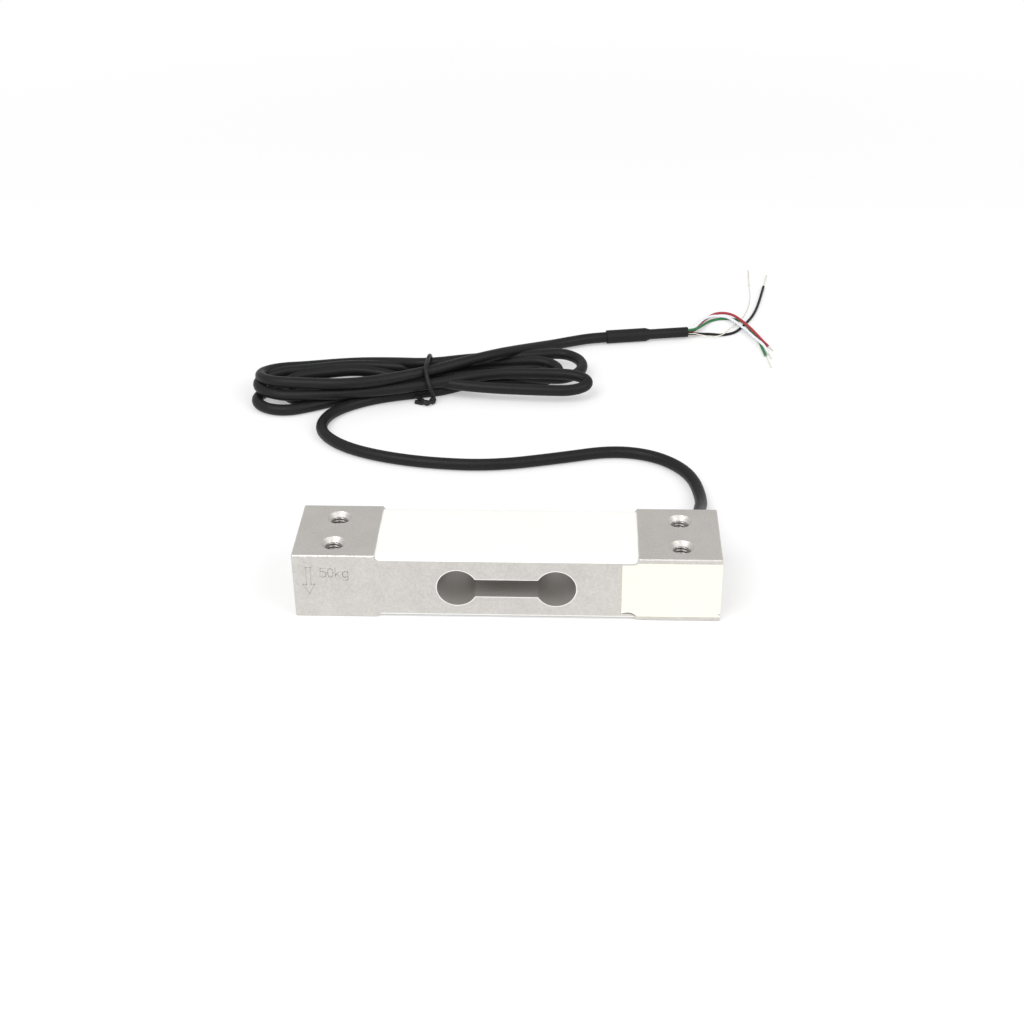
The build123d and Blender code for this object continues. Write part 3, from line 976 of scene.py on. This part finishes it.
@dataclass
class DrainWire:
    """The cable's bare drain wire of seven twisted strands."""

    offset: float = -1.2
    diameter: float = 0.45
    strands: int = 6
    lay: float = 4.0
    knot_ends: tuple[Point, Point] = ((95.1, 243.3, 0.42), (95.2, 244.3, 0.42))
    knot_turns: float = 2.5
    knot_steps: int = 30
    knot_radius: float = 0.279
    route: list[Point] = field(
        default_factory=lambda: [
            (70.3, 189.4, 1.5), (76.4, 188.6, 0.9), (80.4, 189.7, 1.6), (83.6, 196.3, 1.4),
            (87.0, 203.8, 0.3), (89.6, 208.8, 0.3), (92.6, 218.1, 0.3), (94.7, 230.5, 0.3),
            (95.0, 243.5, 0.3), (96.2, 260.3, 0.3),
        ]
    )

    def build(self, finishes: Finishes) -> None:
        """Args:
            finishes: The finishes.
        """
        shift = SLEEVE_SIDE * self.offset
        points = in_metres([tuple(JACKET_TIP + shift), tuple(SLEEVE_MOUTH + shift), *self.route])
        middle, length = middle_line(points)
        strands = stranded(
            "strands", middle, self.diameter * MM / 3, self.strands, self.lay * MM
        )
        wire = joined([strands, self.knot()], "drain_strands")
        smooth(wire, Shading.SMOOTH)
        finishes.dress(wire, "tinned_wire")
        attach(wire, "root")
        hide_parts("drain_wire")
        LOG.info("drain_strands: %.4f m long, %d faces", length, len(wire.data.polygons))

    def knot(self) -> bpy.types.Object:
        """A strand wound twice round the wire, near its end."""
        start, end = (Vector(point) * MM for point in self.knot_ends)
        along = (end - start).normalized()
        across = along.cross(UPWARD).normalized()
        up = across.cross(along)
        points = []
        for step in range(self.knot_steps + 1):
            share = step / self.knot_steps
            angle = 2 * math.pi * self.knot_turns * share
            outward = across * math.cos(angle) + up * math.sin(angle)
            points.append(start + (end - start) * share + outward * self.knot_radius * MM)
        return wire_mesh("knot", points, self.diameter * MM / 2)


@dataclass
class ScrewThreads:
    """The M6 threads in the four mounting holes."""

    radius: float = 2.5
    rooted: float = 0.05
    depth: float = 0.3
    root_share: float = 0.42
    crest_share: float = 0.06
    pitch: float = 1.0
    bottom: float = 0.95
    turns: int = 20
    steps: int = 36
    holes: list[tuple[float, float]] = field(
        default_factory=lambda: [(x, y) for x in (-53.0, 53.0) for y in (-7.5, 7.5)]
    )

    def build(self, finishes: Finishes) -> None:
        """Build one thread and a copy of it for each hole.

        Args:
            finishes: The finishes.
        """
        first = self.ridge()
        for index, (x, y) in enumerate(self.holes):
            thread = first.copy()
            thread.data = first.data.copy()
            thread.name = f"screw_thread_{index + 1}"
            thread.data.name = thread.name
            bpy.context.scene.collection.objects.link(thread)
            thread.location = (x * MM, y * MM, 0.0)
            settle(thread)
            finishes.dress(thread, "tapped_thread")
            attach(thread, "root")
            LOG.info("%s: %d faces", thread.name, len(thread.data.polygons))
        bpy.data.objects.remove(first)

    def ridge(self) -> bpy.types.Object:
        """The helical ridge of one thread, round the vertical axis."""
        deselect_all()
        bpy.ops.mesh.primitive_circle_add(vertices=4, radius=1.0, fill_type="NOTHING")
        ridge = bpy.context.object
        outer, inner = self.radius + self.rooted, self.radius - self.depth
        half, flat = self.root_share * self.pitch, self.crest_share * self.pitch
        corners = [(outer, -half), (outer, half), (inner, flat), (inner, -flat)]
        for vertex, (out, height) in zip(ridge.data.vertices, corners):
            vertex.co = (out * MM, 0.0, (self.bottom + height) * MM)
        screw = ridge.modifiers.new("thread", "SCREW")
        screw.screw_offset = self.pitch * MM
        screw.iterations = self.turns
        screw.steps = screw.render_steps = self.steps
        screw.use_merge_vertices = False
        bpy.ops.object.modifier_apply(modifier="thread")
        bpy.ops.object.mode_set(mode="EDIT")
        bpy.ops.mesh.select_all(action="SELECT")
        bpy.ops.mesh.fill_holes(sides=4)
        bpy.ops.mesh.select_all(action="SELECT")
        bpy.ops.mesh.normals_make_consistent(inside=False)
        bpy.ops.object.mode_set(mode="OBJECT")
        smooth(ridge, Shading.BY_ANGLE)
        return ridge


@dataclass
class RecessSealant:
    """The cast sealant in the recesses of the top and bottom faces, rounded down to its edges."""

    half_length: float = 42.6
    half_width: float = 14.98
    floor_height: float = 20.4
    sunk: float = 0.05
    edge_height: float = 0.22
    middle_height: float = 11.0
    rounds: list[tuple[float, float]] = field(
        default_factory=lambda: [
            (0.12, 0.22), (0.2, 0.2), (0.35, 0.2), (0.6, 0.18), (1.0, 0.14), (1.8, 0.08),
            (3.0, 0.03),
        ]
    )

    def build(self, finishes: Finishes) -> None:
        """Build the sealant of the top face, and its copy turned over for the bottom face.

        Args:
            finishes: The finishes.
        """
        top = self.slab()
        bottom = top.copy()
        bottom.data = top.data.copy()
        bottom.data.name = "bottom_sealant_skin"
        bottom.name = "bottom_sealant_skin"
        bpy.context.scene.collection.objects.link(bottom)
        bottom.location = (0.0, 0.0, 2 * self.middle_height * MM)
        bottom.rotation_euler = (math.pi, 0.0, 0.0)
        settle(bottom)
        for piece in (top, bottom):
            finishes.dress(piece, "recess_sealant")
            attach(piece, "root")
            LOG.info("%s: %d faces", piece.name, len(piece.data.polygons))

    def slab(self) -> bpy.types.Object:
        """One slab whose top rises in ever flatter steps from its edge."""
        deselect_all()
        low = self.floor_height - self.sunk
        height = self.sunk + self.edge_height
        bpy.ops.mesh.primitive_cube_add(size=1.0, location=(0.0, 0.0, (low + height / 2) * MM))
        slab = bpy.context.object
        slab.name = slab.data.name = "top_sealant_skin"
        slab.scale = (2 * self.half_length * MM, 2 * self.half_width * MM, height * MM)
        settle(slab)
        bpy.ops.object.mode_set(mode="EDIT")
        bpy.ops.mesh.select_mode(type="FACE")
        bpy.ops.mesh.select_all(action="DESELECT")
        bpy.ops.object.mode_set(mode="OBJECT")
        for face in slab.data.polygons:
            face.select = face.normal.z > 0.5
        bpy.ops.object.mode_set(mode="EDIT")
        for inward, rise in self.rounds:
            bpy.ops.mesh.inset(thickness=inward * MM, depth=rise * MM)
        bpy.ops.object.mode_set(mode="OBJECT")
        smooth(slab, Shading.BY_ANGLE)
        return slab


@dataclass
class PaintedSealantShadow:
    """Painted shadow: a thin dark strip laid on the front face where the side sealant has shrunk
    back from the lip of its pocket.
    """

    face_y: float = -15.0
    proud: float = 0.012
    lines: list[list[Point]] = field(
        default_factory=lambda: [
            [(35.1, 2.35, 0.2), (36.2, 2.55, 0.5), (37.4, 2.6, 0.55), (38.4, 2.3, 0.45),
             (39.1, 1.85, 0.3), (39.6, 1.45, 0.12)],
            [(64.5, 2.75, 0.12), (64.75, 2.5, 0.35), (64.8, 2.2, 0.25)],
        ]
    )

    def build(self, finishes: Finishes) -> None:
        """Build the painted shadow's two stretches as one thin mesh.

        Args:
            finishes: The finishes.
        """
        shadow_strip = joined([self.stretch(index) for index in range(len(self.lines))], "painted_sealant_shadow")
        finishes.dress(shadow_strip, "painted_sealant_shadow")
        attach(shadow_strip, "root")
        LOG.info("painted_sealant_shadow: %d faces", len(shadow_strip.data.polygons))

    def stretch(self, index: int) -> bpy.types.Object:
        """One stretch, as wide at each of its points as the third number says.

        Args:
            index: Number of the stretch.

        Returns:
            The mesh.
        """
        points = self.lines[index]
        line = round_wire(
            f"gap_{index}", [(x * MM, 0.0, z * MM) for x, z, _ in points], 1.0 * MM
        )
        for knot, (_, _, width) in zip(line.data.splines[0].points, points):
            knot.radius = width
        as_mesh(line)
        line.scale = (1.0, 2 * self.proud, 1.0)
        line.location = (0.0, self.face_y * MM, 0.0)
        settle(line)
        return line


@dataclass
class CapacityMarks:
    """The load arrow and the rated load, engraved in thin lines on the front face."""

    face_y: float = -15.0
    line_width: float = 0.26
    proud: float = 0.012
    arrow: list[tuple[float, float]] = field(
        default_factory=lambda: [
            (-60.8, 17.7), (-59.4, 17.7), (-59.5, 11.65), (-58.4, 11.65), (-60.2, 8.3),
            (-62.0, 11.55), (-60.9, 11.6), (-60.8, 17.7),
        ]
    )
    letter_height: float = 3.2
    letter_pitch: float = 2.25
    text_start: tuple[float, float] = (-56.6, 14.3)
    strokes: list[list[list[tuple[float, float]]]] = field(
        default_factory=lambda: [
            [[(0.55, 1.0), (0.08, 1.0), (0.05, 0.6), (0.3, 0.66), (0.52, 0.55), (0.6, 0.33),
              (0.5, 0.1), (0.28, 0.0), (0.03, 0.08)]],
            [[(0.3, 1.0), (0.12, 0.88), (0.02, 0.5), (0.12, 0.12), (0.3, 0.0), (0.48, 0.12),
              (0.58, 0.5), (0.48, 0.88), (0.3, 1.0)]],
            [[(0.08, 1.0), (0.08, 0.0)], [(0.48, 0.62), (0.08, 0.25)], [(0.22, 0.38), (0.52, 0.0)]],
            [[(0.54, 0.6), (0.3, 0.66), (0.1, 0.55), (0.04, 0.33), (0.1, 0.12), (0.3, 0.02),
              (0.54, 0.1)], [(0.56, 0.66), (0.56, -0.15), (0.42, -0.32), (0.12, -0.3)]],
        ]
    )

    def build(self, finishes: Finishes) -> None:
        """Build the lines as one thin mesh.

        Args:
            finishes: The finishes.
        """
        lines = [self.arrow]
        start, bottom = self.text_start
        size = self.letter_height
        for index, letter in enumerate(self.strokes):
            left = start + index * self.letter_pitch
            for stroke in letter:
                lines.append([(left + x * size, bottom + z * size) for x, z in stroke])
        marks = joined([stroke for line in lines for stroke in self.line(line)], "capacity_marks")
        finishes.dress(marks, "engraved_line")
        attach(marks, "root")
        LOG.info("capacity_marks: %d faces", len(marks.data.polygons))

    def line(self, points: list[tuple[float, float]]) -> list[bpy.types.Object]:
        """The straight strokes of one engraved line, flat on the face.

        Args:
            points: Its points in the face, x and z in millimetres.

        Returns:
            The strokes as meshes.
        """
        strokes = []
        for (x, z), (next_x, next_z) in zip(points, points[1:]):
            deselect_all()
            middle = ((x + next_x) / 2 * MM, self.face_y * MM, (z + next_z) / 2 * MM)
            bpy.ops.mesh.primitive_cube_add(size=1.0, location=middle)
            stroke = bpy.context.object
            length = math.hypot(next_x - x, next_z - z) + self.line_width
            stroke.scale = (length * MM, 2 * self.proud * MM, self.line_width * MM)
            stroke.rotation_euler = (0.0, -math.atan2(next_z - z, next_x - x), 0.0)
            settle(stroke)
            strokes.append(stroke)
        return strokes


CORES = [
    FreeCore("red", 0.56, -0.56, 4.0, [
        (69.7, 197.1, 0.6), (72.5, 204.7, 0.6), (77.5, 210.0, 1.7), (81.7, 208.9, 2.7),
        (85.3, 206.4, 2.9), (88.0, 201.6, 2.85), (90.5, 196.2, 2.85), (93.6, 188.7, 2.3),
        (95.8, 184.6, 1.1), (97.6, 180.6, 0.75),
    ]),
    FreeCore("white", 0.56, 0.56, 4.5, [
        (70.3, 196.8, 3.0), (73.2, 202.8, 3.0), (77.2, 207.6, 1.8), (81.9, 207.5, 1.75),
        (84.9, 204.4, 1.75), (87.8, 198.2, 1.75), (90.6, 191.9, 1.75), (93.2, 185.2, 1.75),
        (95.5, 180.4, 1.75), (96.6, 176.8, 0.9), (97.1, 173.8, 0.75),
    ]),
    FreeCore("green", -0.56, 0.56, 10.8, [
        (71.0, 195.9, 2.0), (75.5, 205.0, 0.6), (79.8, 207.5, 0.6), (84.6, 207.5, 0.6),
        (88.4, 203.3, 1.7), (90.3, 198.5, 1.7), (92.5, 191.9, 1.2), (94.4, 186.9, 0.6),
        (95.0, 180.2, 0.6), (95.9, 172.1, 0.6),
    ]),
    FreeCore("black", -0.56, -0.56, 13.0, [
        (70.8, 191.9, 0.7), (75.2, 192.2, 0.6), (79.6, 191.0, 0.6), (84.9, 193.1, 0.6),
        (88.6, 199.0, 0.6), (91.0, 203.9, 0.6), (94.2, 211.0, 0.6), (97.6, 223.2, 0.6),
        (101.2, 241.5, 0.6),
    ]),
]


def main() -> None:
    """Load the frame, then build and dress every piece in order."""
    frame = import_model()
    finishes = Finishes()
    PhotographersTable().build()
    finishes.dress_nodes(frame)
    tie = TwistTie().build(finishes)
    MeasuringCable().build(finishes, [tie, bpy.data.objects["heat_shrink_sleeve"]])
    for core in CORES:
        core.build(finishes)
    DrainWire().build(finishes)
    ScrewThreads().build(finishes)
    RecessSealant().build(finishes)
    PaintedSealantShadow().build(finishes)
    CapacityMarks().build(finishes)


if __name__ == "__main__":
    logging.basicConfig(level=logging.INFO, format="%(message)s")
    main()
